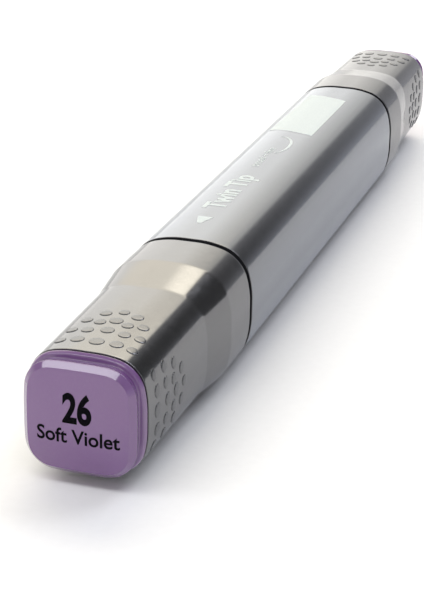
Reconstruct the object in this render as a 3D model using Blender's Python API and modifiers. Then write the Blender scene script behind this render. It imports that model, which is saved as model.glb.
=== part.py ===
"""Twin-ended felt tip marker with a square barrel, lying on its side.

Metres, +Z up. The marker's length runs along Y, with the broad tip's end at -Y and the fine
tip's end at +Y. The origin is under the middle of the marker, on the surface it lies on.

Each end is modelled in a frame of its own: its origin is at the middle of the cap's outer rim,
and its local +Z runs from that rim towards the middle of the marker. The dimensions called
"depth" below are distances along that local +Z.
"""

from math import atan2, cos, pi, radians, sin, sqrt

import bmesh
import bpy

MM = 0.001

# ---------------------------------------------------------------- driving dimensions
BODY_WIDTH = 16.0 * MM          # barrel and cap bands, across the flats
GRIP_RIM_WIDTH = 13.9 * MM      # the cap's narrow end, at its rim
GRIP_INNER_WIDTH = 14.4 * MM    # the narrow end where the taper starts
FLAT_HALF_WIDTH = 1.0 * MM      # flat strip in the middle of each bulged side
BARREL_LENGTH = 75.1 * MM
TAPER_LENGTH = 6.7 * MM         # from the narrow end out to the band
BAND_LENGTH = 7.5 * MM          # full-width part of a cap, next to the barrel
BROAD_GRIP_LENGTH = 19.0 * MM   # narrow part of the broad tip's cap
FINE_GRIP_LENGTH = 15.4 * MM    # narrow part of the fine tip's cap
SEAL_ZONE = 1.0 * MM            # between a cap's mouth and the barrel
FIT_GAP = 0.3 * MM              # between pieces that sit in one another
SEAM_GAP = 0.25 * MM            # between faces that meet end to end

CAP_WALL = 1.1 * MM
BARREL_WALL = 1.2 * MM

CORE_RADIUS = 5.0 * MM          # ink-soaked fibre
FILM_WALL = 0.3 * MM            # plastic film wrapped round the fibre

NECK_RADIUS = 5.2 * MM          # where the cap's inner cup seals on the holder
NOSE_RADIUS = 4.5 * MM          # the holder in front of the neck
LINER_WALL = 0.7 * MM
LINER_START = 4.3 * MM          # depth of the inner cup's closed end
LINER_BASE = 0.8 * MM           # thickness of that closed end
NECK_LENGTH = 6.6 * MM          # of the neck inside the cap

PLUG_SPIGOT_LENGTH = 4.0 * MM
PLUG_REACH = 3.3 * MM           # how far a plug stands out of the cap's rim
PLUG_FLANGE = 0.75 * MM         # from the cap's rim to the front of the plug's flange
PLUG_BEVEL = 2.25 * MM          # from the rim to where the button's bevel starts
PLUG_FACE = 2.9 * MM            # from the rim to where the bevel meets the crowned face

BROAD_NIB = (5.6 * MM, 3.2 * MM)     # section of the chisel nib
BROAD_NIB_TIP_DEPTH = 14.5 * MM
BROAD_NIB_SLANT = 3.3 * MM           # how much shorter one side of the chisel is
BROAD_NOSE_DEPTH = 20.6 * MM
FINE_NIB_RADIUS = 0.9 * MM
FINE_NIB_TIP_DEPTH = 10.4 * MM
FINE_SLEEVE_DEPTH = 12.9 * MM
FINE_SLEEVE_END = 24.0 * MM
FINE_SLEEVE_RADIUS = 1.8 * MM
FINE_NOSE_DEPTH = 15.6 * MM
HOLDER_LENGTH = 7.8 * MM        # of the block inside the barrel
SOCKET_FLOOR = 3.9 * MM         # past the cap's mouth: where the reservoir's socket ends

OVERRUN = 1.0 * MM              # how far cutters reach past what they cut
TURNED_STEPS = 40

# ---------------------------------------------------------------- derived places
AXIS_HEIGHT = BODY_WIDTH / 2
BROAD_CAP_LENGTH = BROAD_GRIP_LENGTH + TAPER_LENGTH + BAND_LENGTH
FINE_CAP_LENGTH = FINE_GRIP_LENGTH + TAPER_LENGTH + BAND_LENGTH
RIM_TO_RIM = BROAD_CAP_LENGTH + BARREL_LENGTH + FINE_CAP_LENGTH + 2 * SEAL_ZONE

# Sections of the marker: half width, corner radius, radius of the bulged sides.
BODY = (BODY_WIDTH / 2, 4.8 * MM, 12.0 * MM)
GRIP_RIM = (GRIP_RIM_WIDTH / 2, 3.9 * MM, 13.0 * MM)
GRIP_INNER = (GRIP_INNER_WIDTH / 2, 4.0 * MM, 13.0 * MM)
BUTTON = (6.44 * MM, 3.5 * MM, 30.0 * MM)       # the plug's raised part at its widest
FACE = (5.82 * MM, 2.8 * MM, 30.0 * MM)         # the edge of the plug's crowned face


# ---------------------------------------------------------------- scene, materials
def clear_scene():
    for item in list(bpy.data.objects):
        bpy.data.objects.remove(item, do_unlink=True)
    for group in list(bpy.data.collections):
        bpy.data.collections.remove(group)


def new_collection(name):
    group = bpy.data.collections.new(name)
    bpy.context.scene.collection.children.link(group)
    return group


def material(name, colour, roughness, metallic=0.0):
    made = bpy.data.materials.new(name)
    made.use_nodes = True
    shader = made.node_tree.nodes["Principled BSDF"]
    shader.inputs["Base Color"].default_value = (*colour, 1.0)
    shader.inputs["Roughness"].default_value = roughness
    shader.inputs["Metallic"].default_value = metallic
    made.diffuse_color = (*colour, 1.0)
    return made


# ---------------------------------------------------------------- outlines and solids
def shrink(section, wall):
    """The section of a bore inside a wall, or of a piece that fits inside another."""
    half, corner, side = section
    return (half - wall, corner - wall, side - wall)


def square_outline(section, side_steps=3, corner_steps=4):
    """Square with bulged sides and round corners, as points anticlockwise round the centre.

    Each side is a short flat, an arc of the side radius that leaves it smoothly, and half
    of a corner arc up to the diagonal. One such eighth is mirrored and turned.
    """
    half, corner, side = section
    arc_x = half - side
    total = arc_x + FLAT_HALF_WIDTH
    spread = arc_x ** 2 + FLAT_HALF_WIDTH ** 2 - (side - corner) ** 2
    centre = (total + sqrt(total ** 2 - 2 * spread)) / 2
    turn = atan2(centre - FLAT_HALF_WIDTH, centre - arc_x)
    eighth = []
    for step in range(side_steps):
        angle = turn * step / side_steps
        eighth.append((arc_x + side * cos(angle), FLAT_HALF_WIDTH + side * sin(angle)))
    for step in range(corner_steps):
        angle = turn + (pi / 4 - turn) * step / corner_steps
        eighth.append((centre + corner * cos(angle), centre + corner * sin(angle)))
    diagonal = centre + corner * sqrt(0.5)
    quarter = eighth + [(diagonal, diagonal)] + [(y, x) for x, y in reversed(eighth)]
    outline = []
    for _ in range(4):
        outline += quarter
        quarter = [(-y, x) for x, y in quarter]
    return outline


def finish_mesh(work, name):
    bmesh.ops.recalc_face_normals(work, faces=work.faces)
    mesh = bpy.data.meshes.new(name)
    work.to_mesh(mesh)
    work.free()
    mesh.shade_smooth()
    mesh.set_sharp_from_angle(angle=radians(32))
    return mesh


def lofted(name, stations):
    """Closed solid through square outlines, given as (depth, section) pairs."""
    work = bmesh.new()
    rings = []
    for depth, section in stations:
        rings.append([work.verts.new((x, y, depth)) for x, y in square_outline(section)])
    for low, high in zip(rings, rings[1:]):
        for i in range(len(low)):
            j = (i + 1) % len(low)
            work.faces.new((low[i], low[j], high[j], high[i]))
    work.faces.new(rings[0])
    work.faces.new(rings[-1])
    return bpy.data.objects.new(name, finish_mesh(work, name))


def turned(name, profile, steps=TURNED_STEPS):
    """Solid of revolution round local Z. The profile is a list of (radius, depth) points.

    It starts and ends on the axis for a solid piece, and is closed for a ring.
    """
    work = bmesh.new()
    verts = [work.verts.new((radius, 0, depth)) for radius, depth in profile]
    for start, end in zip(verts, verts[1:]):
        work.edges.new((start, end))
    if profile[0][0] > 0:
        work.edges.new((verts[-1], verts[0]))
    mesh = bpy.data.meshes.new(name)
    work.to_mesh(mesh)
    work.free()
    made = bpy.data.objects.new(name, mesh)
    screw = made.modifiers.new("Turn", "SCREW")
    screw.axis = "Z"
    screw.steps = steps
    screw.render_steps = steps
    screw.use_merge_vertices = True
    screw.merge_threshold = 0.00001
    return made


def tube_profile(inner, outer, start, end):
    return [(outer, end), (outer, start), (inner, start), (inner, end)]


# ---------------------------------------------------------------- the model
class Marker:
    """Collections, end frames and materials that the pieces share."""

    def __init__(self):
        self.parts = new_collection("felt_tip_marker")
        self.cutters = new_collection("cutters")
        self.materials = {
            "grey_shell": material("grey_shell", (0.24, 0.245, 0.25), 0.25, 0.6),
            "violet_plug": material("violet_plug", (0.23, 0.12, 0.29), 0.25),
            "black_seal": material("black_seal", (0.012, 0.012, 0.014), 0.55),
            "holder_plastic": material("holder_plastic", (0.62, 0.63, 0.63), 0.40),
            "liner_plastic": material("liner_plastic", (0.70, 0.71, 0.70), 0.38),
            "nib_felt": material("nib_felt", (0.24, 0.13, 0.31), 0.90),
            "core_fibre": material("core_fibre", (0.35, 0.22, 0.44), 0.95),
            "film": material("film", (0.80, 0.80, 0.82), 0.25),
            "tip_sleeve": material("tip_sleeve", (0.55, 0.56, 0.58), 0.30),
        }
        self.ends = {
            "broad": self.end_frame("broad_end", -1),
            "fine": self.end_frame("fine_end", 1),
        }

    def end_frame(self, name, side):
        """Empty at the middle of a cap's rim, with its local +Z towards the marker's middle."""
        empty = bpy.data.objects.new(name, None)
        empty.empty_display_size = 0.01
        empty.location = (0, side * RIM_TO_RIM / 2, AXIS_HEIGHT)
        empty.rotation_euler = (side * pi / 2, 0, 0)
        self.parts.objects.link(empty)
        return empty

    def add(self, piece, end, slot):
        """Put a finished piece in the model, in the frame of one of the marker's ends."""
        self.parts.objects.link(piece)
        piece.parent = self.ends[end]
        piece.data.materials.append(self.materials[slot])
        return piece

    def helper(self, piece, end):
        """Put a cutter, or a shape that is joined to a piece, where it works."""
        self.cutters.objects.link(piece)
        piece.parent = self.ends[end]
        piece.hide_render = True
        piece.display_type = "WIRE"
        return piece

    def combine(self, piece, end, other, operation):
        self.helper(other, end)
        boolean = piece.modifiers.new(other.name, "BOOLEAN")
        boolean.operation = operation
        boolean.solver = "EXACT"
        boolean.object = other


def block(name, width, thickness, start, end):
    """Straight rectangular bar along local Z, for the chisel nib's slot."""
    work = bmesh.new()
    bmesh.ops.create_cube(work, size=1)
    bmesh.ops.scale(work, vec=(width, thickness, end - start), verts=work.verts)
    bmesh.ops.translate(work, vec=(0, 0, (start + end) / 2), verts=work.verts)
    return bpy.data.objects.new(name, finish_mesh(work, name))


def add_barrel(model):
    start = BROAD_CAP_LENGTH + SEAL_ZONE
    end = start + BARREL_LENGTH
    barrel = lofted("barrel", [(start, BODY), (end, BODY)])
    model.add(barrel, "broad", "grey_shell")
    bore = shrink(BODY, BARREL_WALL)
    cutter = lofted("barrel_bore", [(start - OVERRUN, bore), (end + OVERRUN, bore)])
    model.combine(barrel, "broad", cutter, "DIFFERENCE")


def add_reservoir(model):
    start = BROAD_CAP_LENGTH + SOCKET_FLOOR + FIT_GAP
    end = RIM_TO_RIM - FINE_CAP_LENGTH - SOCKET_FLOOR - FIT_GAP
    edge = 0.4 * MM
    core = turned("ink_reservoir", [
        (0, end), (CORE_RADIUS - edge, end), (CORE_RADIUS, end - edge),
        (CORE_RADIUS, start + edge), (CORE_RADIUS - edge, start), (0, start),
    ])
    model.add(core, "broad", "core_fibre")
    inner = CORE_RADIUS + FIT_GAP
    film = turned("reservoir_film", tube_profile(inner, inner + FILM_WALL, start, end))
    model.add(film, "broad", "film")


def add_seal_ring(model, end, cap_length):
    """Black ring between the cap's mouth and the barrel, round the holder's neck."""
    start = cap_length + SEAM_GAP
    stop = cap_length + SEAL_ZONE - SEAM_GAP
    inset = 0.45 * MM
    outline = shrink(BODY, inset)
    ring = lofted(end + "_seal_ring", [(start, outline), (stop, outline)])
    model.add(ring, end, "black_seal")
    hole = NECK_RADIUS + FIT_GAP
    cutter = turned(end + "_seal_hole", [
        (0, stop + OVERRUN), (hole, stop + OVERRUN), (hole, start - OVERRUN), (0, start - OVERRUN),
    ])
    model.combine(ring, end, cutter, "DIFFERENCE")


def add_holder_block(model, end, cap_length):
    """Square block inside the barrel, with a round socket for the reservoir's end."""
    start = cap_length + SEAL_ZONE + 0.05 * MM
    stop = start + HOLDER_LENGTH
    outline = shrink(BODY, BARREL_WALL + FIT_GAP)
    holder = lofted(end + "_holder", [(start, outline), (stop, outline)])
    model.add(holder, end, "holder_plastic")
    floor = cap_length + SOCKET_FLOOR
    radius = CORE_RADIUS + FILM_WALL + 2 * FIT_GAP
    socket = turned(end + "_socket", [
        (0, stop + OVERRUN), (radius, stop + OVERRUN), (radius, floor), (0, floor),
    ])
    return holder, socket, start


def neck_root(cap_length):
    """Depths where the holder widens from its nose to its neck."""
    step = cap_length - NECK_LENGTH + 0.35 * MM
    return step, step + 0.7 * MM


def add_broad_holder(model):
    """Holder of the chisel nib: a block, a neck and a short round nose with a slot."""
    holder, socket, start = add_holder_block(model, "broad", BROAD_CAP_LENGTH)
    step, neck = neck_root(BROAD_CAP_LENGTH)
    edge = 0.6 * MM
    overlap = 1.5 * MM
    nose = turned("broad_neck", [
        (0, start + overlap), (NECK_RADIUS, start + overlap), (NECK_RADIUS, neck),
        (NOSE_RADIUS, step), (NOSE_RADIUS, BROAD_NOSE_DEPTH + edge),
        (NOSE_RADIUS - edge, BROAD_NOSE_DEPTH), (0, BROAD_NOSE_DEPTH),
    ])
    model.combine(holder, "broad", nose, "UNION")
    model.combine(holder, "broad", socket, "DIFFERENCE")
    slot = block("broad_slot", BROAD_NIB[0] + 2 * FIT_GAP, BROAD_NIB[1] + 2 * FIT_GAP,
                 BROAD_NOSE_DEPTH - OVERRUN, BROAD_CAP_LENGTH + SOCKET_FLOOR + OVERRUN)
    model.combine(holder, "broad", slot, "DIFFERENCE")


def add_fine_holder(model):
    """Holder of the fine nib: a block, a neck and a long cone with a stepped bore."""
    holder, socket, start = add_holder_block(model, "fine", FINE_CAP_LENGTH)
    step, neck = neck_root(FINE_CAP_LENGTH)
    cone_start = step - 1.2 * MM
    nose_end = 3.0 * MM
    overlap = 1.5 * MM
    nose = turned("fine_neck", [
        (0, start + overlap), (NECK_RADIUS, start + overlap), (NECK_RADIUS, neck),
        (NOSE_RADIUS, step), (NOSE_RADIUS, cone_start),
        (nose_end, FINE_NOSE_DEPTH), (0, FINE_NOSE_DEPTH),
    ])
    model.combine(holder, "fine", nose, "UNION")
    model.combine(holder, "fine", socket, "DIFFERENCE")
    wide = FINE_SLEEVE_RADIUS + FIT_GAP
    narrow = FINE_NIB_RADIUS + FIT_GAP
    bottom = FINE_CAP_LENGTH + SOCKET_FLOOR + OVERRUN
    bore = turned("fine_bore", [
        (0, bottom), (narrow, bottom), (narrow, FINE_SLEEVE_END + FIT_GAP),
        (wide, FINE_SLEEVE_END + FIT_GAP), (wide, FINE_NOSE_DEPTH - OVERRUN),
        (0, FINE_NOSE_DEPTH - OVERRUN),
    ])
    model.combine(holder, "fine", bore, "DIFFERENCE")


def add_broad_nib(model):
    """Rectangular felt bar whose front is cut on a slant, with rounded edges."""
    tail = BROAD_CAP_LENGTH + SOCKET_FLOOR
    nib = block("broad_nib", *BROAD_NIB, BROAD_NIB_TIP_DEPTH, tail)
    for vert in nib.data.vertices:
        if vert.co.z < (BROAD_NIB_TIP_DEPTH + tail) / 2 and vert.co.x > 0:
            vert.co.z += BROAD_NIB_SLANT
    model.add(nib, "broad", "nib_felt")
    rounding = nib.modifiers.new("Rounded edges", "BEVEL")
    rounding.width = 0.5 * MM
    rounding.segments = 3
    rounding.limit_method = "ANGLE"


def add_fine_nib(model):
    """Thin felt rod with a rounded point, in a plastic sleeve that stiffens it."""
    tail = FINE_CAP_LENGTH + SOCKET_FLOOR
    tip = FINE_NIB_TIP_DEPTH
    nib = turned("fine_nib", [
        (0, tail), (FINE_NIB_RADIUS, tail), (FINE_NIB_RADIUS, tip + 2.1 * MM),
        (0.5 * MM, tip + 0.5 * MM), (0.3 * MM, tip + 0.12 * MM), (0, tip),
    ], steps=24)
    model.add(nib, "fine", "nib_felt")
    inner = FINE_NIB_RADIUS + FIT_GAP
    shoulder = 1.2 * MM
    sleeve = turned("fine_tip_sleeve", [
        (FINE_SLEEVE_RADIUS, FINE_SLEEVE_END), (FINE_SLEEVE_RADIUS, FINE_SLEEVE_DEPTH + shoulder),
        (inner + 0.2 * MM, FINE_SLEEVE_DEPTH), (inner, FINE_SLEEVE_DEPTH), (inner, FINE_SLEEVE_END),
    ], steps=24)
    model.add(sleeve, "fine", "tip_sleeve")


def add_cap_shell(model, end, grip_length):
    """Outer shell of a cap: narrow grip, taper and full-width band, open at both ends."""
    taper_end = grip_length + TAPER_LENGTH
    mouth = taper_end + BAND_LENGTH
    shell = lofted(end + "_cap_shell", [
        (0, GRIP_RIM), (grip_length, GRIP_INNER), (taper_end, BODY), (mouth, BODY),
    ])
    model.add(shell, end, "grey_shell")
    cutter = lofted(end + "_cap_bore", [
        (-OVERRUN, shrink(GRIP_RIM, CAP_WALL)), (grip_length, shrink(GRIP_INNER, CAP_WALL)),
        (taper_end, shrink(BODY, CAP_WALL)), (mouth + OVERRUN, shrink(BODY, CAP_WALL)),
    ])
    model.combine(shell, end, cutter, "DIFFERENCE")


def add_cap_liner(model, end, cap_length):
    """Inner cup that closes round the nib, held in the shell by a square collar."""
    floor = LINER_START + LINER_BASE
    nose_bore = NOSE_RADIUS + FIT_GAP
    neck_bore = NECK_RADIUS + FIT_GAP
    mouth = cap_length - 0.6 * MM
    step = cap_length - NECK_LENGTH
    edge = 0.5 * MM
    liner = turned(end + "_cap_liner", [
        (0, floor), (nose_bore, floor), (nose_bore, step), (neck_bore, step), (neck_bore, mouth),
        (neck_bore + LINER_WALL, mouth), (neck_bore + LINER_WALL, step - LINER_WALL / 2),
        (nose_bore + LINER_WALL, step - LINER_WALL), (nose_bore + LINER_WALL, LINER_START + edge),
        (nose_bore + LINER_WALL - edge, LINER_START), (0, LINER_START),
    ][::-1])
    model.add(liner, end, "liner_plastic")
    collar_start = step + 1.2 * MM
    collar_width = 1.2 * MM
    outline = shrink(BODY, CAP_WALL + FIT_GAP)
    collar = lofted(end + "_collar", [
        (collar_start, outline), (collar_start + collar_width, outline),
    ])
    hole = turned(end + "_collar_hole", [
        (0, mouth + edge), (neck_bore, mouth + edge), (neck_bore, step + edge), (0, step + edge),
    ])
    model.combine(liner, end, collar, "UNION")
    model.combine(liner, end, hole, "DIFFERENCE")


def add_cap_plug(model, end):
    """Coloured plug that closes the cap's rim: a spigot, a thin flange and a raised button."""
    spigot = shrink(GRIP_RIM, CAP_WALL + FIT_GAP)
    flange = shrink(GRIP_RIM, 0.05 * MM)
    edge = 0.12 * MM
    groove = 0.2 * MM
    stations = [
        (PLUG_SPIGOT_LENGTH, spigot),
        (-SEAM_GAP, spigot),
        (-SEAM_GAP, flange),
        (-PLUG_FLANGE + edge, flange),
        (-PLUG_FLANGE, shrink(flange, edge)),
        (-PLUG_FLANGE, shrink(BUTTON, groove)),
        (-PLUG_BEVEL, BUTTON),
        (-PLUG_FACE, FACE),
        (-PLUG_FACE - 0.27 * MM, (4.2 * MM, 2.3 * MM, 20.0 * MM)),
        (-PLUG_REACH, (2.6 * MM, 1.3 * MM, 12.0 * MM)),
    ]
    plug = lofted(end + "_cap_plug", stations)
    model.add(plug, end, "violet_plug")
    hollow = shrink(spigot, CAP_WALL)
    cutter = lofted(end + "_plug_hollow", [
        (0.8 * MM, hollow), (PLUG_SPIGOT_LENGTH + OVERRUN, hollow),
    ])
    model.combine(plug, end, cutter, "DIFFERENCE")


def build():
    clear_scene()
    model = Marker()
    add_barrel(model)
    add_reservoir(model)
    add_broad_holder(model)
    add_broad_nib(model)
    add_fine_holder(model)
    add_fine_nib(model)
    for end, grip_length in (("broad", BROAD_GRIP_LENGTH), ("fine", FINE_GRIP_LENGTH)):
        cap_length = grip_length + TAPER_LENGTH + BAND_LENGTH
        add_seal_ring(model, end, cap_length)
        add_cap_shell(model, end, grip_length)
        add_cap_liner(model, end, cap_length)
        add_cap_plug(model, end)
    bpy.context.view_layer.update()


build()
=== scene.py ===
from math import atan2, cos, pi, radians, sin, sqrt

import bmesh
import bpy
import numpy as np
from mathutils import Matrix, Vector


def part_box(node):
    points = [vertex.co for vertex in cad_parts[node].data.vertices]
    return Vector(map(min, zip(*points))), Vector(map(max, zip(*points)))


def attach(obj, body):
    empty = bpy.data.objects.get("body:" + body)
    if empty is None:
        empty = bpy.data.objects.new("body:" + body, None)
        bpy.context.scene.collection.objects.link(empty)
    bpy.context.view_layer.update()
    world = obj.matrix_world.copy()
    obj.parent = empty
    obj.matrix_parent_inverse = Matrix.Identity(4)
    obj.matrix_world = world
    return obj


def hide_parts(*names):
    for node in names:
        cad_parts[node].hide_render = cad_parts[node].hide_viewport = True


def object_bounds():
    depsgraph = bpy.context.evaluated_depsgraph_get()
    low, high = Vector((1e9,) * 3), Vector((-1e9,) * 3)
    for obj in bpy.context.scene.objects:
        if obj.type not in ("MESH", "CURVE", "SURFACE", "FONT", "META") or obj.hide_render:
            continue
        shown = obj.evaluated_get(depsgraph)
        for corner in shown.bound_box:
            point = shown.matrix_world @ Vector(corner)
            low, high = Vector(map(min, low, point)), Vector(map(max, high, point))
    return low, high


# Looks for a square twin-ended felt tip marker that lies on its side.
#
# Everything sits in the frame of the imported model, in metres. The marker's length runs along
# Y and it lies on Z = 0. Shapes are worked out in millimetres round the marker's axis: across
# to the right, up, and "depth", the distance from a cap's outer rim towards the middle.

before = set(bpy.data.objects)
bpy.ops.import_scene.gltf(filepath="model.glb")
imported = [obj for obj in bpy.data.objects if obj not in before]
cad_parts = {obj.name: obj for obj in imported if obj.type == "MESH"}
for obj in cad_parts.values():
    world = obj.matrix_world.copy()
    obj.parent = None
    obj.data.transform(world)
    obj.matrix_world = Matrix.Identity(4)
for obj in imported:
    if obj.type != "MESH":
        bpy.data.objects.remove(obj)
cad_low, cad_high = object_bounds()

MM = 0.001
BODIES = {"broad": "broad_cap", "fine": "fine_cap"}
MARKER = "marker_body"
SHARP = 30                      # bends above this angle shade as edges, in degrees

# ---------------------------------------------------------------- sizes, in millimetres
barrel_low, barrel_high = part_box("barrel")
AXIS_Z = (barrel_low.z + barrel_high.z) / 2
HALF = (barrel_high.x - barrel_low.x) / 2 / MM

# Sections: half width, corner radius, radius of the bulged sides.
BODY = (HALF, 4.8, 12.0)
GRIP_RIM = (6.95, 3.9, 13.0)
GRIP_INNER = (7.2, 4.0, 13.0)
FLAT = 1.0                      # half width of the flat strip along each side

TAPER = 6.7                     # length of a cap's taper
BAND = 7.5                      # length of its full-width band
CAP_WALL = 1.1
BARREL_WALL = 1.2
PLAY = 0.3                      # gap between pieces that sit inside each other
LIP = 0.07                      # rounding of the shells' open edges
RING = 1.0                      # room for a seal ring between cap and barrel
RING_PLAY = 0.01                # gap on each side of the seal ring
NECK = 5.2                      # radius of a holder where the cap seals
NOSE = 4.5                      # radius of a holder ahead of its neck
NECK_START = 6.25               # from a cap's mouth outwards to its holder's neck
NECK_STOP = 3.9                 # from a cap's mouth inwards to the end of that neck
SLOT_PLAY = 0.5                 # how much wider the chisel nib's slot is than the nib

DOT_RISE = 0.085
DOT_STEPS = 28
DOT_LEVELS = (                  # share of a dot's radius, share of its rise (or mm below)
    (1.02, -0.10), (1.0, 0.0), (0.985, 0.45), (0.93, 0.80), (0.82, 0.97), (0.5, 1.0),
    (0.1, 1.0),
)
DOTS = (                        # depth, distance from the side's middle line, diameter
    (2.7, 0.0, 1.75), (5.9, 0.0, 1.6), (8.6, 0.0, 1.6), (11.1, 0.0, 1.3),
    (2.75, 2.25, 1.6), (5.4, 2.15, 1.45), (7.8, 1.62, 1.4), (10.3, 1.88, 1.45),
    (2.5, 4.2, 1.4), (5.4, 4.0, 1.4), (8.2, 3.3, 1.4),
)


class End:
    """One end of the marker: where its cap starts and ends, and which way is inwards."""

    def __init__(self, name, inward):
        low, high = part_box(name + "_cap_shell")
        self.name = name
        self.body = BODIES[name]
        self.inward = inward
        self.rim = low.y if inward > 0 else high.y
        self.mouth = (high.y - low.y) / MM
        self.grip = self.mouth - BAND - TAPER

    def place(self, points):
        """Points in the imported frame, from (across, up, depth) in millimetres."""
        across, up, depth = np.asarray(points, float).T
        return np.stack([
            across * MM,
            self.rim + self.inward * depth * MM,
            AXIS_Z + up * MM,
        ], axis=1)

    def reach(self, node):
        """Depths at which a CAD node starts and stops."""
        return sorted((corner.y - self.rim) * self.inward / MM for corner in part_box(node))


BROAD = End("broad", 1)
FINE = End("fine", -1)


def cross_section(node):
    """Width and height of a CAD node, in millimetres."""
    low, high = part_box(node)
    return (high.x - low.x) / MM, (high.z - low.z) / MM


# ---------------------------------------------------------------- outlines
def eighth(section):
    """Middle of a corner arc, and the angle at which a side's arc runs into it."""
    half, corner, side = section
    arc_x = half - side
    total = arc_x + FLAT
    spread = arc_x ** 2 + FLAT ** 2 - (side - corner) ** 2
    centre = (total + sqrt(total ** 2 - 2 * spread)) / 2
    return centre, atan2(centre - FLAT, centre - arc_x)


def outline(section, side_steps=9, corner_steps=12):
    """Square with bulged sides and round corners, anticlockwise from the right-hand side."""
    half, corner, side = section
    centre, turn = eighth(section)
    arc_x = half - side
    points = []
    for step in range(side_steps):
        angle = turn * step / side_steps
        points.append((arc_x + side * cos(angle), FLAT + side * sin(angle)))
    for step in range(corner_steps):
        angle = turn + (pi / 4 - turn) * step / corner_steps
        points.append((centre + corner * cos(angle), centre + corner * sin(angle)))
    diagonal = centre + corner * sqrt(0.5)
    quarter = points + [(diagonal, diagonal)] + [(y, x) for x, y in reversed(points)]
    whole = []
    for _ in range(4):
        whole += quarter
        quarter = [(-y, x) for x, y in quarter]
    return np.array(whole)


def side_point(section, along):
    """Half-side point at an arc length from the side's middle: (sideways, out, angle)."""
    half, corner, side = section
    centre, turn = eighth(section)
    sign = 1 if along >= 0 else -1
    length = abs(along)
    arc_end = FLAT + side * turn
    if length <= FLAT:
        return along, half, 0.0
    if length <= arc_end:
        angle = (length - FLAT) / side
        return sign * (FLAT + side * sin(angle)), half - side + side * cos(angle), sign * angle
    angle = turn + (length - arc_end) / corner
    return sign * (centre + corner * sin(angle)), centre + corner * cos(angle), sign * angle


def shrink(section, wall):
    half, corner, side = section
    return (half - wall, corner - wall, side - wall)


def mix(first, second, share):
    return tuple(a + (b - a) * share for a, b in zip(first, second))


def square_ring(section, depth):
    points = outline(section)
    return np.column_stack([points, np.full(len(points), depth)])


def round_ring(radius, depth, steps=96):
    angles = np.arange(steps) * 2 * pi / steps
    return np.column_stack([
        radius * np.cos(angles), radius * np.sin(angles), np.full(steps, depth),
    ])


def circle_in_step(section, radius, depth):
    """Circle whose points lie at the same bearings as those of a square outline."""
    points = outline(section)
    points = points / np.linalg.norm(points, axis=1)[:, None] * radius
    return np.column_stack([points, np.full(len(points), depth)])


# ---------------------------------------------------------------- meshes
def add_skin(work, rings, loop=False):
    """Faces through rings of equal length. Its ends are capped unless it loops back."""
    rows = [[work.verts.new(point) for point in ring] for ring in rings]
    pairs = list(zip(rows, rows[1:]))
    if loop:
        pairs.append((rows[-1], rows[0]))
    for low, high in pairs:
        for i in range(len(low)):
            j = (i + 1) % len(low)
            work.faces.new((low[i], low[j], high[j], high[i]))
    if not loop:
        work.faces.new(rows[0])
        work.faces.new(rows[-1])


def shade(mesh, sharp=SHARP):
    mesh.shade_smooth()
    mesh.set_sharp_from_angle(angle=radians(sharp))


def pour(work, mesh):
    """Turn a bmesh into a mesh, and free it."""
    work.to_mesh(mesh)
    work.free()
    return mesh


def add_mesh(work, mesh):
    """Add a passing mesh to a bmesh, and remove it."""
    work.from_mesh(mesh)
    bpy.data.meshes.remove(mesh)


def new_piece(name, work, sharp=SHARP):
    bmesh.ops.recalc_face_normals(work, faces=work.faces)
    mesh = pour(work, bpy.data.meshes.new(name))
    shade(mesh, sharp)
    piece = bpy.data.objects.new(name, mesh)
    bpy.context.scene.collection.objects.link(piece)
    return piece


def placed(end, rings):
    return [end.place(ring) for ring in rings]


def settle(piece, body, look, nodes=()):
    """Give a finished piece its material and its body, and hide the CAD nodes it stands for."""
    piece.data.materials.clear()
    piece.data.materials.append(look)
    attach(piece, body)
    if nodes:
        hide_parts(*nodes)


def rounded_steps(radius, steps=4):
    """(inset, distance) pairs round a quarter circle, from the end face to the side."""
    pairs = []
    for step in range(steps + 1):
        angle = pi / 2 * step / steps
        pairs.append((radius * (1 - sin(angle)), radius * (1 - cos(angle))))
    return pairs


def creased(stations):
    """Stations with close rows on both sides of each bend, so that it shades crisply."""
    far, near = 0.45, 0.10
    rows = [stations[0]]
    for before, here, after in zip(stations, stations[1:], stations[2:]):
        for other, offsets in ((before, (far, near)), (after, (near, far))):
            for offset in offsets:
                share = offset / abs(other[0] - here[0])
                rows.append((
                    here[0] + (other[0] - here[0]) * share, mix(here[1], other[1], share),
                ))
    rows.append(stations[-1])
    return rows


def tube(stations, wall):
    """Rings of a square tube that loop back inside it, with rounded lips at both ends."""
    start, first = stations[0]
    stop, last = stations[-1]
    close = 3 * LIP             # a row this near each lip keeps its shading off the side
    outer = [(start + d, shrink(first, inset)) for inset, d in rounded_steps(LIP)]
    outer += [(start + close, mix(first, stations[1][1], close / (stations[1][0] - start)))]
    outer += creased(stations)[1:-1]
    outer += [(stop - close, mix(last, stations[-2][1], close / (stop - stations[-2][0])))]
    outer += [(stop - d, shrink(last, inset)) for inset, d in rounded_steps(LIP)[::-1]]
    inner = [(stop, shrink(last, wall - LIP)), (stop - LIP, shrink(last, wall))]
    inner += [(depth, shrink(section, wall)) for depth, section in stations[-2:0:-1]]
    inner += [(start + LIP, shrink(first, wall)), (start, shrink(first, wall - LIP))]
    return [square_ring(section, depth) for depth, section in outer + inner]


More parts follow.
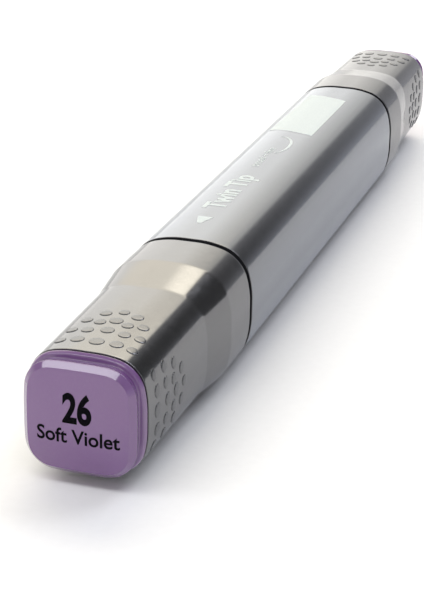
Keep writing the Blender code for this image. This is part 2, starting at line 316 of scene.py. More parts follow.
# ---------------------------------------------------------------- materials
class Look:
    """A material made of nodes, and short ways to add the nodes it needs.

    Noise scales are per metre and bump distances are in metres.
    """

    def __init__(self, name):
        self.material = bpy.data.materials.new(name)
        self.material.use_nodes = True
        self.tree = self.material.node_tree
        self.shader = self.tree.nodes["Principled BSDF"]
        self.place = self.tree.nodes.new("ShaderNodeTexCoord").outputs["Object"]

    def put(self, **sockets):
        """Set the shader's sockets: fixed numbers, colours, or another node's output."""
        for name, value in sockets.items():
            self.join(value, self.shader.inputs[name.replace("_", " ")])

    def join(self, value, socket):
        if isinstance(value, bpy.types.NodeSocket):
            self.tree.links.new(value, socket)
        elif isinstance(value, tuple) and len(value) == 3 and socket.type == "RGBA":
            socket.default_value = (*value, 1.0)
        else:
            socket.default_value = value

    def stretched(self, scale):
        mapping = self.tree.nodes.new("ShaderNodeMapping")
        mapping.vector_type = "POINT"
        self.join(self.place, mapping.inputs["Vector"])
        mapping.inputs["Scale"].default_value = scale
        return mapping.outputs["Vector"]

    def noise(self, scale, detail=2.0, rough=0.5, place=None):
        node = self.tree.nodes.new("ShaderNodeTexNoise")
        self.join(place or self.place, node.inputs["Vector"])
        node.inputs["Scale"].default_value = scale
        node.inputs["Detail"].default_value = detail
        node.inputs["Roughness"].default_value = rough
        return node.outputs["Fac"]

    def spread(self, value, low, high, start=0.3, stop=0.7):
        """Runs from low to high as the value runs from start to stop."""
        node = self.tree.nodes.new("ShaderNodeMapRange")
        self.join(value, node.inputs["Value"])
        node.inputs["From Min"].default_value = start
        node.inputs["From Max"].default_value = stop
        node.inputs["To Min"].default_value = low
        node.inputs["To Max"].default_value = high
        return node.outputs["Result"]

    def blend(self, value, first, second, start=0.3, stop=0.7):
        """Colour that runs from the first to the second as the value rises."""
        node = self.tree.nodes.new("ShaderNodeMix")
        node.data_type = "RGBA"
        self.join(self.spread(value, 0.0, 1.0, start, stop), node.inputs["Factor"])
        self.join(first, node.inputs[6])
        self.join(second, node.inputs[7])
        return node.outputs[2]

    def bump(self, height, strength, distance, under=None):
        node = self.tree.nodes.new("ShaderNodeBump")
        self.join(height, node.inputs["Height"])
        node.inputs["Strength"].default_value = strength
        node.inputs["Distance"].default_value = distance
        if under is not None:
            self.join(under, node.inputs["Normal"])
        return node.outputs["Normal"]


def shell_look(name, light, dark, rough, edge):
    """Satin gunmetal plastic: faint cloudiness, flow ripple and fine grain.

    The edge colour is how much it mirrors where it is seen at a slant.
    """
    look = Look(name)
    cloud = look.noise(90.0, 3.0)
    grain = look.noise(5200.0, 2.0, 0.6)
    ripple = look.noise(420.0, 1.0)
    body = look.blend(cloud, dark, light)
    fleck = tuple(min(1.0, c * 1.12) for c in light)
    colour = look.blend(grain, body, fleck, 0.5, 0.85)
    relief = look.bump(ripple, 0.15, 0.000006)
    relief = look.bump(grain, 0.10, 0.000004, relief)
    look.put(Base_Color=colour, Metallic=0.84, Specular_Tint=edge, IOR=1.5, Normal=relief)
    look.put(Roughness=look.spread(look.noise(700.0, 4.0, 0.7), rough - 0.04, rough + 0.05))
    return look.material


def plug_look():
    """Glossy violet plastic, slightly deeper and lighter in soft patches."""
    look = Look("violet_plastic")
    cloud = look.noise(150.0, 2.0)
    speck = look.noise(3000.0, 3.0, 0.7)
    body = look.blend(cloud, (0.148, 0.062, 0.202), (0.157, 0.067, 0.212))
    colour = look.blend(speck, body, (0.162, 0.071, 0.218), 0.50, 0.98)
    relief = look.bump(look.noise(350.0, 1.0), 0.15, 0.000006)
    relief = look.bump(speck, 0.05, 0.000003, relief)
    look.put(Base_Color=colour, Normal=relief, IOR=1.52, Coat_Weight=1.0)
    look.put(Coat_Roughness=0.07, Coat_IOR=1.6)
    look.put(Roughness=look.spread(look.noise(500.0, 2.0), 0.23, 0.27))
    return look.material


def matt_look(name, dark, light, rough, grain, strength, specular=0.5):
    """Even plastic, rubber or ink with a fine grain of its own."""
    look = Look(name)
    fine = look.noise(grain, 3.0, 0.6)
    look.put(Base_Color=look.blend(fine, dark, light))
    look.put(Normal=look.bump(fine, strength, 0.00002), Specular_IOR_Level=specular)
    look.put(Roughness=look.spread(look.noise(grain / 4, 2.0), rough - 0.05, rough + 0.06))
    return look.material


def felt_look(name, dark, light):
    """Pressed fibres that run along the nib, with soaked patches."""
    look = Look(name)
    fibres = look.noise(1.0, 4.0, 0.65, look.stretched((9000.0, 700.0, 9000.0)))
    tangle = look.noise(6500.0, 4.0, 0.7)
    soaked = look.noise(380.0, 2.0)
    body = look.blend(fibres, dark, light)
    colour = look.blend(soaked, body, dark, 0.45, 0.9)
    relief = look.bump(fibres, 0.9, 0.00005)
    relief = look.bump(tangle, 0.5, 0.00003, relief)
    look.put(Base_Color=colour, Normal=relief, Sheen_Weight=0.35, Sheen_Roughness=0.5)
    look.put(Roughness=look.spread(tangle, 0.78, 0.95))
    return look.material


def make_looks():
    grey = ((0.164, 0.165, 0.169), (0.154, 0.155, 0.159))
    deep_grey = ((0.130, 0.132, 0.137), (0.116, 0.118, 0.123))
    barrel_edge = (0.90, 0.93, 1.0)
    cap_edge = (0.79, 0.79, 0.81)
    return {
        "shell": shell_look("barrel_grey", *grey, rough=0.13, edge=barrel_edge),
        "cap": shell_look("cap_grey", *grey, rough=0.13, edge=cap_edge),
        "dots": shell_look("grip_dots", *deep_grey, rough=0.22, edge=cap_edge),
        "plug": plug_look(),
        "seal": matt_look("black_rubber", (0.004, 0.004, 0.005), (0.012, 0.012, 0.014),
                          rough=0.75, grain=3000.0, strength=0.25, specular=0.0),
        "black_ink": matt_look("black_ink", (0.003, 0.003, 0.004), (0.008, 0.007, 0.009),
                               rough=0.75, grain=5000.0, strength=0.15, specular=0.0),
        "pale_ink": matt_look("pale_ink", (0.50, 0.55, 0.55), (0.60, 0.65, 0.64),
                              rough=0.5, grain=5000.0, strength=0.15, specular=0.2),
        "holder": matt_look("holder_plastic", (0.58, 0.59, 0.59), (0.68, 0.69, 0.69),
                            rough=0.36, grain=1500.0, strength=0.12),
        "liner": matt_look("liner_plastic", (0.66, 0.67, 0.66), (0.75, 0.76, 0.75),
                           rough=0.34, grain=1200.0, strength=0.12),
        "sleeve": matt_look("tip_sleeve", (0.48, 0.49, 0.51), (0.60, 0.61, 0.63),
                            rough=0.28, grain=2600.0, strength=0.10),
        "film": matt_look("reservoir_film", (0.76, 0.76, 0.78), (0.84, 0.84, 0.86),
                          rough=0.22, grain=900.0, strength=0.2),
        "nib": felt_look("nib_felt", (0.15, 0.07, 0.21), (0.31, 0.18, 0.39)),
        "core": felt_look("core_fibre", (0.27, 0.15, 0.35), (0.43, 0.29, 0.52)),
    }


# ---------------------------------------------------------------- shells
def add_barrel(looks):
    start, stop = BROAD.reach("barrel")
    middle = [start + (stop - start) * share for share in (1 / 3, 2 / 3)]
    stations = [(depth, BODY) for depth in (start, *middle, stop)]
    work = bmesh.new()
    add_skin(work, placed(BROAD, tube(stations, BARREL_WALL)), loop=True)
    piece = new_piece("barrel_shell", work)
    settle(piece, MARKER, looks["shell"], ["barrel"])


def add_cap_shell(end, looks):
    stations = [
        (0.0, GRIP_RIM), (end.grip, GRIP_INNER), (end.grip + TAPER, BODY), (end.mouth, BODY),
    ]
    work = bmesh.new()
    add_skin(work, placed(end, tube(stations, CAP_WALL)), loop=True)
    piece = new_piece(end.name + "_cap_case", work)
    settle(piece, end.body, looks["cap"], [end.name + "_cap_shell"])


def dot_rings(end, depth, offset, radius, quarter):
    """Rings of one raised dot that follows the cap's curved side, from its foot to its top."""
    rings = []
    for share, rise in DOT_LEVELS:
        ring = []
        for step in range(DOT_STEPS):
            angle = 2 * pi * step / DOT_STEPS
            place = depth + radius * share * sin(angle)
            section = mix(GRIP_RIM, GRIP_INNER, place / end.grip)
            sideways, out, tilt = side_point(section, offset + radius * share * cos(angle))
            lift = DOT_RISE * rise if rise > 0 else rise
            sideways += lift * sin(tilt)
            out += lift * cos(tilt)
            ring.append((*quarter_turn(sideways, out, quarter), place))
        rings.append(ring)
    return rings


def quarter_turn(sideways, out, quarter):
    """A point above the top side, turned to one of the four sides."""
    for _ in range(quarter):
        sideways, out = -out, sideways
    return sideways, out


def add_dots(end, looks):
    work = bmesh.new()
    for quarter in range(4):
        for depth, offset, width in DOTS:
            for side in ((-1, 1) if offset else (1,)):
                rings = dot_rings(end, depth, side * offset, width / 2, quarter)
                add_skin(work, placed(end, rings))
    piece = new_piece(end.name + "_cap_grip_dots", work, sharp=60)
    settle(piece, end.body, looks["dots"])


# ---------------------------------------------------------------- plugs
# Sections and places on a plug. Depths below zero stand out of the cap's rim.
BUTTON = (6.44, 3.5, 30.0)
FACE = (5.82, 2.7, 30.0)
FACE_DEPTH = -2.90              # edge of the crowned face
CROWN = 0.40                    # how far the face swells out in its middle
CROWN_POWER = 2.4               # the higher, the flatter the middle
FACE_SHARES = (1.0, 0.985, 0.96, 0.9, 0.8, 0.68, 0.55, 0.42, 0.3, 0.18, 0.08, 0.02)
SPIGOT = ((4.0, 0.4), (3.6, 0.0), (-0.32, 0.0))         # depth, inset
FLANGE_IN = 0.05                # how much narrower the flange is than the cap's rim
FLANGE_BACK = -0.32
FLANGE_ROUND = 0.06
FLANGE = (                      # depth, inset, from its rounded back edge to the groove
    (-0.41, 0.01), (-0.46, 0.03), (-0.70, 0.13), (-0.78, 0.18), (-0.82, 0.24), (-0.84, 0.32),
)
BUTTON_SIDE = (                 # depth, inset: groove, side and bevel
    (-0.86, 0.10), (-0.88, 0.22), (-0.92, 0.28), (-1.0, 0.31), (-1.20, 0.31),
    (-1.45, 0.27), (-1.70, 0.19), (-1.95, 0.09), (-2.10, 0.03), (-2.18, 0.0),
    (-2.22, 0.0), (-2.25, 0.012), (-2.27, 0.03), (-2.33, 0.085), (-2.57, 0.31),
    (-2.80, 0.525), (-2.85, 0.572), (-2.88, 0.598), (-2.895, 0.61),
)


def crown_height(across, up):
    """Depth of the crowned face at a place on it."""
    points = outline(FACE)
    bearings = np.arctan2(points[:, 1], points[:, 0])
    order = np.argsort(bearings)
    reach = np.interp(np.arctan2(up, across), bearings[order],
                      np.linalg.norm(points, axis=1)[order], period=2 * pi)
    share = np.hypot(across, up) / reach
    return FACE_DEPTH - CROWN * (1 - share ** CROWN_POWER)


def plug_stations():
    """Spigot, flange, groove, side and bevelled edge of a plug, as far as its face."""
    spigot = shrink(GRIP_RIM, CAP_WALL + PLAY)
    flange = (GRIP_RIM[0] - FLANGE_IN, GRIP_RIM[1], GRIP_RIM[2])
    rows = [(depth, shrink(spigot, inset)) for depth, inset in SPIGOT]
    rows += [(FLANGE_BACK - d, shrink(flange, inset))
             for inset, d in rounded_steps(FLANGE_ROUND, 3)]
    rows += [(depth, shrink(flange, inset)) for depth, inset in FLANGE]
    return rows + [(depth, shrink(BUTTON, inset)) for depth, inset in BUTTON_SIDE]


def add_plug(end, looks):
    rings = [square_ring(section, depth) for depth, section in plug_stations()]
    edge = outline(FACE)
    for share in FACE_SHARES:
        flat = edge * share
        depth = crown_height(flat[:, 0], flat[:, 1])
        rings.append(np.column_stack([flat, depth]))
    work = bmesh.new()
    add_skin(work, placed(end, rings))
    piece = new_piece(end.name + "_cap_end_plug", work, sharp=40)
    settle(piece, end.body, looks["plug"], [end.name + "_cap_plug"])


# ---------------------------------------------------------------- print
INK_BELOW = 0.05                # how far ink reaches under the surface
PLUG_INK = 0.025                # how far it stands above a plug
BARREL_INK = 0.02               # and above the barrel
PLUG_CELL = 0.9                 # size of the cells that letters are cut into
BARREL_CELL = 0.45
DOUBLE = 0.0005                 # points of a letter closer than this are one
SLIVER = 1e-4                   # edges of cut letters shorter than this are merged
FONT_STEPS = 5                  # points along each curve of a letter
FONT_HALF = 0.5                 # only tells a letter's front from its back


def letters(text, weight):
    """Flat solid letters as a mesh."""
    curve = bpy.data.curves.new("letters", "FONT")
    curve.body = text
    curve.align_x = "CENTER"
    curve.offset = weight
    curve.extrude = FONT_HALF
    curve.resolution_u = FONT_STEPS
    holder = bpy.data.objects.new("letters", curve)
    bpy.context.scene.collection.objects.link(holder)
    graph = bpy.context.evaluated_depsgraph_get()
    mesh = bpy.data.meshes.new_from_object(holder.evaluated_get(graph))
    bpy.data.objects.remove(holder)
    bpy.data.curves.remove(curve)
    return mesh


def cut_into_cells(work, cell):
    """Cut flat letters along a square grid, so that they can bend."""
    for axis, normal in enumerate(((1, 0, 0), (0, 1, 0))):
        places = [vert.co[axis] for vert in work.verts]
        first = int(min(places) // cell)
        last = int(max(places) // cell) + 1
        for step in range(first, last + 1):
            point = [step * cell * n for n in normal]
            bmesh.ops.bisect_plane(work, geom=work.verts[:] + work.edges[:] + work.faces[:],
                                   plane_co=point, plane_no=normal, dist=1e-5)
    bmesh.ops.dissolve_degenerate(work, dist=SLIVER, edges=work.edges)


def lettering(text, size, narrow, weight, cell):
    """bmesh of flat letters with capitals of a given size, ready to be bent."""
    capital = letters("H", weight)
    heights = [vert.co.y for vert in capital.vertices]
    bpy.data.meshes.remove(capital)
    base = min(heights)
    scale = size / (max(heights) - base)
    work = bmesh.new()
    add_mesh(work, letters(text, weight))
    bmesh.ops.remove_doubles(work, verts=work.verts, dist=DOUBLE)
    for vert in work.verts:
        vert.co = (vert.co.x * scale * narrow, (vert.co.y - base) * scale, vert.co.z)
    cut_into_cells(work, cell)
    return work


def lay_on_face(work, end, across, up):
    """Bend letters onto a plug's crowned face. They read left to right from outside."""
    for vert in work.verts:
        x = vert.co.x + across
        y = vert.co.y + up
        rise = PLUG_INK if vert.co.z > 0 else -INK_BELOW
        depth = crown_height(np.array([x]), np.array([y]))[0] - rise
        vert.co = Vector(end.place([(x * end.inward, y, depth)])[0])


def add_plug_print(end, looks):
    """A number on both plugs, and a colour's plain name on the near one."""
    work = lettering("26", size=3.45, narrow=0.72, weight=0.034, cell=PLUG_CELL)
    lay_on_face(work, end, across=0.05, up=-0.15)
    if end is BROAD:
        word = lettering("Soft Violet", size=1.66, narrow=0.95, weight=0.016, cell=PLUG_CELL)
        lay_on_face(word, end, across=0.07, up=-2.50)
        add_mesh(work, pour(word, bpy.data.meshes.new("word")))
    piece = new_piece(end.name + "_plug_print", work, sharp=50)
    settle(piece, end.body, looks["black_ink"])


def top_height(across):
    return side_point(BODY, across)[1]


def lay_on_barrel(work, across, depth):
    """Bend letters onto the barrel's top side. They read from the broad end to the fine end."""
    for vert in work.verts:
        x = across - vert.co.y
        place = depth + vert.co.x
        rise = BARREL_INK if vert.co.z > 0 else -INK_BELOW
        vert.co = Vector(BROAD.place([(x, top_height(x) + rise, place)])[0])


def add_plate(work, rows):
    """Thin inked shape on the barrel's top side, through rows of (across, depth) points."""
    layers = []
    for rise in (BARREL_INK, -INK_BELOW):
        layers.append([
            [work.verts.new(BROAD.place([(x, top_height(x) + rise, s)])[0]) for x, s in row]
            for row in rows
        ])
    for layer in layers:
        for low, high in zip(layer, layer[1:]):
            for i in range(len(low) - 1):
                work.faces.new((low[i], low[i + 1], high[i + 1], high[i]))
    rims = []
    for layer in layers:
        rim = layer[0] + [row[-1] for row in layer[1:]] + layer[-1][-2::-1]
        rim += [row[0] for row in layer[-2:0:-1]]
        rims.append(rim)
    for i in range(len(rims[0])):
        j = (i + 1) % len(rims[0])
        work.faces.new((rims[0][i], rims[0][j], rims[1][j], rims[1][i]))


def between(first, second, count):
    return [tuple(np.array(first) + (np.array(second) - first) * k / count)
            for k in range(count + 1)]


def quad_rows(near_left, near_right, far_left, far_right, rows=6, count=14):
    """Rows of points across a four-sided patch."""
    lefts = between(near_left, far_left, rows)
    rights = between(near_right, far_right, rows)
    return [between(left, right, count) for left, right in zip(lefts, rights)]


def arc_rows(centre, radii, start, stop, width, steps=24):
    """Rows along an elliptical arc whose line swells in the middle."""
    rows = []
    for step in range(steps + 1):
        share = step / steps
        angle = radians(start + (stop - start) * share)
        half = width * (0.25 + 0.75 * sin(pi * share)) / 2
        row = []
        for side in (-1, 1):
            row.append((
                centre[0] + (radii[0] + side * half) * cos(angle),
                centre[1] + (radii[1] + side * half) * sin(angle),
            ))
        rows.append(row)
    return rows


def add_barrel_print(looks):
    """Generic words, a wedge, an arc and a blank block in pale ink."""
    work = lettering("Twin Tip", size=2.95, narrow=1.0, weight=0.030, cell=BARREL_CELL)
    lay_on_barrel(work, across=0.30, depth=53.4)
    small = lettering("broad + fine", size=1.15, narrow=1.12, weight=0.008, cell=BARREL_CELL)
    lay_on_barrel(small, across=-0.75, depth=69.6)
    add_mesh(work, pour(small, bpy.data.meshes.new("small")))
    wedge = quad_rows((-1.25, 40.0), (-0.75, 40.0), (-1.9, 42.6), (0.1, 42.6))
    arc = arc_rows(centre=(-1.5, 75.6), radii=(2.2, 4.4), start=-60, stop=95, width=0.42)
    block = quad_rows((-4.7, 84.2), (2.25, 82.0), (-4.1, 104.4), (2.3, 102.2))
    for rows in (wedge, arc, block):
        add_plate(work, rows)
    piece = new_piece("barrel_print", work, sharp=50)
    settle(piece, MARKER, looks["pale_ink"])


# ---------------------------------------------------------------- inside the caps
def washer_rings(section, hole, start, stop, bevel):
    """Rings of a square plate with bevelled edges and a round hole."""
    return [
        square_ring(shrink(section, bevel), start), square_ring(section, start + bevel),
        square_ring(section, stop - bevel), square_ring(shrink(section, bevel), stop),
        circle_in_step(BODY, hole, stop), circle_in_step(BODY, hole, start),
    ]


def add_seal_ring(end, looks):
    """Black square ring that fills the gap between a cap's mouth and the barrel."""
    rings = washer_rings(shrink(BODY, LIP), hole=NECK + 0.25, start=end.mouth + RING_PLAY,
                         stop=end.mouth + RING - RING_PLAY, bevel=0.05)
    work = bmesh.new()
    add_skin(work, placed(end, rings), loop=True)
    piece = new_piece(end.name + "_seal", work)
    settle(piece, MARKER, looks["seal"], [end.name + "_seal_ring"])


def turned_rings(profile, steps=96):
    """Rings turned from (radius, depth) points. A point on the axis keeps a pinhole."""
    pinhole = 0.01
    return [round_ring(max(radius, pinhole), depth, steps) for radius, depth in profile]


def add_liner(end, looks):
    """Inner cup that seals on the holder's neck, with a square collar round it."""
    floor, outer_floor = 5.1, 4.3
    mouth = end.mouth - 0.6
    step = end.mouth - 6.6
    nose = NOSE + PLAY
    neck = NECK + PLAY
    wall = 0.7
    profile = [
        (0.0, floor), (nose - 0.3, floor), (nose, floor + 0.3), (nose, step - 0.2),
        (neck, step + 0.1), (neck, mouth - 0.35), (neck + 0.12, mouth - 0.08),
        (neck + 0.3, mouth), (neck + wall - 0.15, mouth), (neck + wall, mouth - 0.15),
        (neck + wall, step - wall / 2), (nose + wall, step - wall),
        (nose + wall, outer_floor + 0.5), (nose + wall - 0.5, outer_floor), (0.0, outer_floor),
    ]
    work = bmesh.new()
    add_skin(work, placed(end, turned_rings(profile)))
    collar = washer_rings(shrink(BODY, CAP_WALL + PLAY), hole=neck + wall - 0.1,
                          start=step + 1.2, stop=step + 2.4, bevel=0.15)
    add_skin(work, placed(end, collar), loop=True)
    piece = new_piece(end.name + "_cap_inner_cup", work)
    settle(piece, end.body, looks["liner"], [end.name + "_cap_liner"])


def bead(radius, centre, rise=0.17, half=0.5, steps=6):
    """Points of a low round bead on a turned surface, in order of rising depth."""
    points = []
    for step in range(steps + 1):
        angle = pi * step / steps
        points.append((radius + rise * sin(angle), centre - half * cos(angle)))
    return points


def holder_neck(end, step):
    """Shoulder, neck and sealing beads of a holder, in order of rising depth."""
    return [
        (NOSE, step - 0.1), (NECK - 0.08, step + 0.62), (NECK, step + 0.75),
        *bead(NECK, step + 2.0), *bead(NECK, step + 4.1),
        (NECK, end.mouth + RING), (NECK, end.mouth + NECK_STOP),
    ]


def holder_block_rings(end):
    """Square block that fills the barrel's end, with the neck in its front."""
    start = end.mouth + RING + 0.05
    stop = start + 7.8
    edge = shrink(BODY, BARREL_WALL + PLAY)
    hole = NECK + 0.02
    hollow = 5.9
    return [
        square_ring(edge, start), square_ring(edge, stop),
        circle_in_step(BODY, hollow, stop), circle_in_step(BODY, hollow, end.mouth + NECK_STOP),
        circle_in_step(BODY, hole, end.mouth + NECK_STOP - 0.1),
        circle_in_step(BODY, hole, start),
    ]


def carve(piece, cutter):
    """Take one mesh out of another, for good."""
    modifier = piece.modifiers.new("carve", "BOOLEAN")
    modifier.operation = "DIFFERENCE"
    modifier.solver = "EXACT"
    modifier.object = cutter
    graph = bpy.context.evaluated_depsgraph_get()
    mesh = bpy.data.meshes.new_from_object(piece.evaluated_get(graph))
    piece.modifiers.clear()
    piece.data = mesh
    bpy.data.objects.remove(cutter)
    mesh.set_sharp_from_angle(angle=radians(SHARP))


def join_rings(piece, rings, loop):
    """Add another skin to a piece that is already made."""
    fresh = bmesh.new()
    add_skin(fresh, rings, loop)
    bmesh.ops.recalc_face_normals(fresh, faces=fresh.faces)
    mesh = pour(fresh, bpy.data.meshes.new("fresh"))
    shade(mesh)
    work = bmesh.new()
    work.from_mesh(piece.data)
    add_mesh(work, mesh)
    pour(work, piece.data)


def rounded_bar(section, radius, start, stop, shear=0.0, edge=0.0, corner=7):
    """Rings of a bar with round corners. Its front is sheared to a slant."""
    half_x, half_y = section[0] / 2, section[1] / 2
    rings = []
    rows = [(inset, start + along) for inset, along in rounded_steps(edge, 6)] if edge else []
    rows += [(0.0, start + max(edge, 0.05) + 0.3), (0.0, stop)]
    for inset, depth in rows:
        reach = max(radius - inset, 0.05)
        ring = []
        for turn, (sx, sy) in enumerate(((1, 1), (-1, 1), (-1, -1), (1, -1))):
            for step in range(corner + 1):
                angle = pi / 2 * (turn + step / corner)
                x = sx * (half_x - inset - reach) + reach * cos(angle)
                y = sy * (half_y - inset - reach) + reach * sin(angle)
                tilt = shear * (x / section[0] + 0.5) if depth < stop else 0.0
                ring.append((x, y, depth + tilt))
        rings.append(ring)
    return rings


def add_broad_holder(looks):
    """Nose and neck with a slot for the chisel nib, and a block in the barrel."""
    end = BROAD
    front, _ = end.reach("broad_holder")
    step = end.mouth - NECK_START
    back = end.mouth + NECK_STOP
    profile = [
        (0.0, front), (3.75, front), (3.95, front + 0.08), (NOSE - 0.12, front + 0.62),
        (NOSE - 0.04, front + 0.8), *holder_neck(end, step), (0.0, back),
    ]
    work = bmesh.new()
    add_skin(work, placed(end, turned_rings(profile)))
    piece = new_piece("broad_nib_holder", work)
    slot = [side + SLOT_PLAY for side in cross_section("broad_nib")]
    cut = bmesh.new()
    add_skin(cut, placed(end, rounded_bar(slot, 0.7, front - 1.0, back + 1.0)))
    carve(piece, new_piece("slot", cut))
    join_rings(piece, placed(end, holder_block_rings(end)), True)
    settle(piece, MARKER, looks["holder"], ["broad_holder"])


def add_fine_holder(looks):
    """Long stepped nose and neck with a bore for the sleeve, and a block in the barrel."""
    end = FINE
    front, _ = end.reach("fine_holder")
    step = end.mouth - NECK_START
    bore = 1.2
    profile = [
        (bore, end.mouth + NECK_STOP), (bore, front + 2.5), (2.1, front + 2.3),
        (2.1, front + 0.1), (2.25, front), (2.75, front), (2.98, front + 0.18),
        (3.0, front + 0.5), (3.55, front + 2.6), (3.75, front + 2.7),
        (NOSE - 0.15, step - 1.4), (NOSE, step - 1.2), *holder_neck(end, step),
    ]
    work = bmesh.new()
    add_skin(work, placed(end, turned_rings(profile)), loop=True)
    piece = new_piece("fine_nib_holder", work)
    join_rings(piece, placed(end, holder_block_rings(end)), True)
    settle(piece, MARKER, looks["holder"], ["fine_holder"])


def add_broad_nib(looks):
    front, back = BROAD.reach("broad_nib")
    rings = rounded_bar(cross_section("broad_nib"), 0.75, front, back, shear=3.3, edge=0.55)
    work = bmesh.new()
    add_skin(work, placed(BROAD, rings))
    piece = new_piece("chisel_nib", work, sharp=50)
    settle(piece, MARKER, looks["nib"], ["broad_nib"])


def add_fine_nib(looks):
    tip, tail = FINE.reach("fine_nib")
    radius = cross_section("fine_nib")[0] / 2
    profile = [(0.0, tip), (0.12, tip + 0.02), (0.24, tip + 0.08), (0.34, tip + 0.18),
               (0.42, tip + 0.33), (0.5, tip + 0.6), (0.62, tip + 1.1), (0.76, tip + 1.7),
               (radius - 0.03, tip + 2.15), (radius, tip + 2.5), (radius, tail), (0.0, tail)]
    work = bmesh.new()
    add_skin(work, placed(FINE, turned_rings(profile, steps=48)))
    piece = new_piece("fine_point_nib", work, sharp=50)
    settle(piece, MARKER, looks["nib"], ["fine_nib"])


def add_tip_sleeve(looks):
    """Thin tube round the fine nib, with a coned front and a ring groove."""
    front, back = FINE.reach("fine_tip_sleeve")
    outer = cross_section("fine_tip_sleeve")[0] / 2
    inner = 0.98
    profile = [
        (inner, back), (inner, front + 0.05), (inner + 0.05, front), (inner + 0.18, front),
        (inner + 0.26, front + 0.06), (outer - 0.1, front + 1.15), (outer, front + 1.35),
        (outer, front + 1.7), (outer - 0.12, front + 1.78), (outer - 0.12, front + 2.0),
        (outer, front + 2.08), (outer, back),
    ]
    work = bmesh.new()
    add_skin(work, placed(FINE, turned_rings(profile, steps=64)), loop=True)
    piece = new_piece("fine_point_sleeve", work)
    settle(piece, MARKER, looks["sleeve"], ["fine_tip_sleeve"])


def dress_cad_nodes(looks):
    """The reservoir stays as the CAD has it, with better materials."""
    for node, look in (("ink_reservoir", "core"), ("reservoir_film", "film")):
        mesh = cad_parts[node].data
        if not mesh.materials:
            mesh.materials.append(looks[look])
        for index in range(len(mesh.materials)):
            mesh.materials[index] = looks[look]


# ---------------------------------------------------------------- studio
FLOOR_HALF = 3.0                # metres
FLOOR_GAP = 0.02 * MM           # keeps the floor clear of the marker's lowest faces

PANEL = 2.75                    # brightness of the pale sheet behind on the left
SHEET_TINTS = ((1.0, 0.975, 0.885), (1.0, 0.92, 0.75))  # its lower and its upper part
ROOM_TINTS = ((1.0, 0.985, 0.96), (0.88, 0.90, 1.0))    # the room's left and right
BACKDROP = (0.93, 0.93, 0.93)   # what the camera sees above the floor's edge

VIEW_FROM = (0.0656, -0.2328, 0.0910)
VIEW_ALONG = (-0.28194, 0.88471, -0.37120)
VIEW_ROLL = -0.0181             # radians
LENS = 108.5                    # millimetres, for the sensor width below
SENSOR = 36.0


def make_floor():
    """Plain pale sheet that the marker lies on."""
    work = bmesh.new()
    bmesh.ops.create_grid(work, x_segments=8, y_segments=8, size=FLOOR_HALF)
    floor = bpy.data.objects.new("floor", pour(work, bpy.data.meshes.new("floor")))
    bpy.context.scene.collection.objects.link(floor)
    floor.location.z = cad_low.z - FLOOR_GAP
    look = Look("white_sheet")
    fine = look.noise(900.0, 2.0)
    look.put(Base_Color=look.blend(fine, (0.885, 0.885, 0.885), (0.90, 0.90, 0.90)))
    look.put(Roughness=0.7, Normal=look.bump(fine, 0.02, 0.00002))
    look.put(Specular_IOR_Level=0.2)
    floor.data.materials.append(look.material)


class Sky:
    """The world's nodes, and short ways to add the nodes it needs.

    A direction is told by right (its X), rise (its Z) and bearing (X over Y, so 0 is straight
    behind the marker and below 0 is to the left).
    """

    def __init__(self, name):
        world = bpy.data.worlds.new(name)
        bpy.context.scene.world = world
        world.use_nodes = True
        self.tree = world.node_tree
        self.tree.nodes.clear()
        self.way = self.add("ShaderNodeTexCoord").outputs["Generated"]
        parts = self.add("ShaderNodeSeparateXYZ")
        self.link(self.way, parts.inputs["Vector"])
        self.right = parts.outputs["X"]
        self.rise = parts.outputs["Z"]
        ahead = self.maths("MAXIMUM", parts.outputs["Y"], 0.05)
        self.bearing = self.maths("DIVIDE", self.right, ahead)

    def add(self, kind):
        return self.tree.nodes.new(kind)

    def link(self, output, socket):
        self.tree.links.new(output, socket)

    def span(self, value, start, stop, low=0.0, high=1.0):
        """Runs smoothly from low to high as the value runs from start to stop."""
        ramp = self.add("ShaderNodeMapRange")
        ramp.interpolation_type = "SMOOTHSTEP"
        self.link(value, ramp.inputs["Value"])
        for name, number in (("From Min", start), ("From Max", stop),
                             ("To Min", low), ("To Max", high)):
            ramp.inputs[name].default_value = number
        return ramp.outputs["Result"]

    def fade(self, value, start, stop):
        """Falls smoothly from 1 to 0 as the value runs from start to stop."""
        return self.span(value, start, stop, 1.0, 0.0)

    def lobe(self, direction, inner, outer, gain):
        """Round patch: gain within the inner angle, nothing past the outer one, in degrees."""
        dot = self.add("ShaderNodeVectorMath")
        dot.operation = "DOT_PRODUCT"
        self.link(self.way, dot.inputs[0])
        dot.inputs[1].default_value = Vector(direction).normalized()
        cosine = dot.outputs["Value"]
        return self.span(cosine, cos(radians(outer)), cos(radians(inner)), 0.0, gain)

    def maths(self, operation, first, second):
        node = self.add("ShaderNodeMath")
        node.operation = operation
        for socket, value in zip(node.inputs, (first, second)):
            if isinstance(value, float):
                socket.default_value = value
            else:
                self.link(value, socket)
        return node.outputs["Value"]

    def product(self, first, *others):
        for other in others:
            first = self.maths("MULTIPLY", first, other)
        return first

    def without(self, value):
        """What is left of 1 after the value is taken off."""
        return self.maths("SUBTRACT", 1.0, value)

    def glow(self, level, share, tints):
        """Light of some strength whose colour runs between two tints."""
        tint = self.add("ShaderNodeMix")
        tint.data_type = "RGBA"
        self.link(share, tint.inputs[0])
        tint.inputs[6].default_value = (*tints[0], 1.0)
        tint.inputs[7].default_value = (*tints[1], 1.0)
        light = self.add("ShaderNodeBackground")
        self.link(tint.outputs[2], light.inputs["Color"])
        self.link(level, light.inputs["Strength"])
        return light.outputs["Background"]


def room_light(sky):
    """The room: pale low down, dimmer above, with a dark corner behind on the right."""
    height = sky.span(sky.rise, 0.08, 0.36, 0.90, 0.46)
    corner = sky.lobe((0.65, 0.64, 0.38), 17, 36, 0.97)
    level = sky.product(height, sky.without(corner))
    return sky.glow(level, sky.span(sky.right, -0.1, 0.6), ROOM_TINTS)


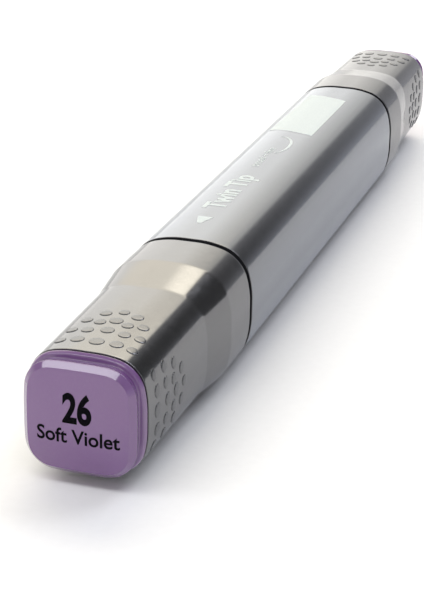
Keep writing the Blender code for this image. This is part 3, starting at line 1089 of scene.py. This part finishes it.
def sheet_light(sky):
    """The pale sheet behind on the left, with a brighter patch near its right edge."""
    across = sky.product(sky.span(sky.bearing, -1.9, -1.2), sky.fade(sky.bearing, 0.07, 0.17))
    level = sky.span(sky.rise, 0.05, 0.55, 0.55 * PANEL, 1.15 * PANEL)
    low_right = sky.product(sky.span(sky.bearing, -0.46, 0.08, 0.0, 0.66),
                            sky.fade(sky.rise, 0.465, 0.53))
    sheet = sky.product(across, level, sky.fade(sky.rise, 0.66, 0.88), sky.without(low_right))
    patch = sky.product(across, sky.lobe((-0.10, 0.67, 0.735), 7, 15, 0.95 * PANEL))
    lift = sky.maths("SUBTRACT", sky.rise, sky.product(sky.bearing, 0.18))
    return sky.glow(sky.maths("ADD", sheet, patch), sky.span(lift, 0.41, 0.53), SHEET_TINTS)


def make_world():
    """Pale studio that lights the marker. The camera itself sees a plain pale backdrop."""
    sky = Sky("studio")
    both = sky.add("ShaderNodeAddShader")
    sky.link(room_light(sky), both.inputs[0])
    sky.link(sheet_light(sky), both.inputs[1])
    seen = sky.add("ShaderNodeBackground")
    seen.inputs["Color"].default_value = (*BACKDROP, 1.0)
    choose = sky.add("ShaderNodeMixShader")
    sky.link(sky.add("ShaderNodeLightPath").outputs["Is Camera Ray"], choose.inputs["Fac"])
    sky.link(both.outputs["Shader"], choose.inputs[1])
    sky.link(seen.outputs["Background"], choose.inputs[2])
    sky.link(choose.outputs["Shader"], sky.add("ShaderNodeOutputWorld").inputs["Surface"])


def soft_box(name, place, size, radiance, colour):
    """Level rectangular light that faces straight down."""
    data = bpy.data.lights.new(name, "AREA")
    data.shape = "RECTANGLE"
    data.size, data.size_y = size
    data.energy = radiance * pi * size[0] * size[1]
    data.color = colour
    lamp = bpy.data.objects.new(name, data)
    bpy.context.scene.collection.objects.link(lamp)
    lamp.location = place
    lamp.visible_camera = False


def make_lights():
    """A long light in front on the left, and a smaller one behind on the right."""
    soft_box("overhead", place=(-0.34, -0.42, 0.80), size=(1.36, 0.25), radiance=4.4,
             colour=(0.96, 0.98, 1.0))
    soft_box("side", place=(0.34, 0.42, 0.62), size=(0.40, 0.36), radiance=6.4,
             colour=(0.90, 0.92, 1.0))


def make_camera():
    """Camera at the photograph's place and angle. Up in the picture follows from its roll."""
    forward = Vector(VIEW_ALONG).normalized()
    right = forward.cross(Vector((0.0, 0.0, 1.0))).normalized()
    down = forward.cross(right)
    across = right * cos(VIEW_ROLL) + down * sin(VIEW_ROLL)
    upward = right * sin(VIEW_ROLL) - down * cos(VIEW_ROLL)
    data = bpy.data.cameras.new("camera")
    data.lens = LENS
    data.sensor_width = SENSOR
    data.clip_start = 0.01
    camera = bpy.data.objects.new("camera", data)
    bpy.context.scene.collection.objects.link(camera)
    turn = Matrix((across, upward, -forward)).transposed().to_4x4()
    camera.matrix_world = Matrix.Translation(VIEW_FROM) @ turn
    bpy.context.scene.camera = camera


def build():
    looks = make_looks()
    add_barrel(looks)
    add_barrel_print(looks)
    add_broad_holder(looks)
    add_broad_nib(looks)
    add_fine_holder(looks)
    add_fine_nib(looks)
    add_tip_sleeve(looks)
    for end in (BROAD, FINE):
        add_cap_shell(end, looks)
        add_dots(end, looks)
        add_plug(end, looks)
        add_plug_print(end, looks)
        add_liner(end, looks)
        add_seal_ring(end, looks)
    dress_cad_nodes(looks)


build()
make_floor()
make_world()
make_lights()
make_camera()
bpy.context.scene.view_settings.view_transform = "Standard"
